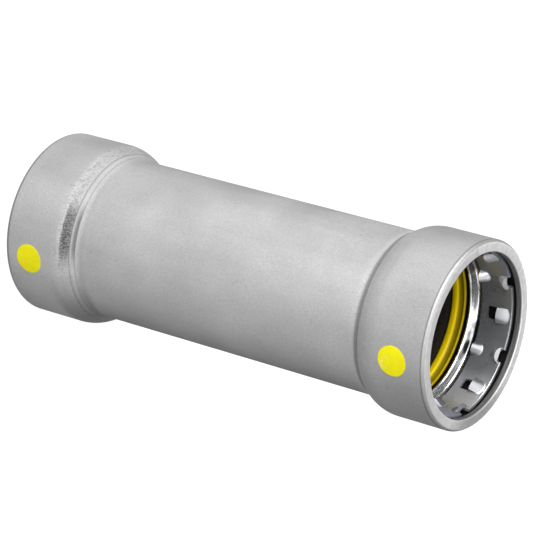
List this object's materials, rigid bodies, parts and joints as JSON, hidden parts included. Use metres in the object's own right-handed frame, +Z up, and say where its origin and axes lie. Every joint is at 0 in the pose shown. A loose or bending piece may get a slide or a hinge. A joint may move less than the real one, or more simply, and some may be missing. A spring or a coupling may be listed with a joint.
{
  "type": "press fit pipe coupling",
  "caption": "Straight steel press coupling without a stop: a plain tube with a widened socket at each end, holding grip rings, separator rings and yellow seals.",
  "frame": {"origin": "centre of the bottom rim, on the surface that the coupling stands on", "axes": "+Z runs up along the bore to the other rim, and -Y points to the side with the colour marks"},
  "size_m": [0.077, 0.0771, 0.207],
  "materials": {
    "plated_steel": "satin zinc plating with a fine blasted grain",
    "grip_steel": "semi-bright spring steel",
    "polished_steel": "polished",
    "yellow_rubber": "smooth lubricated rubber",
    "mark_paint": "printed spot of yellow paint"
  },
  "bodies": {
    "root": {"body": "plated_steel", "grip_ring_top": "grip_steel", "grip_ring_bottom": "grip_steel", "separator_ring_top": "polished_steel", "separator_ring_bottom": "polished_steel", "seal_ring_top": "yellow_rubber", "seal_ring_bottom": "yellow_rubber", "mark_top": "mark_paint", "mark_bottom": "mark_paint"}
  },
  "joints": []
}
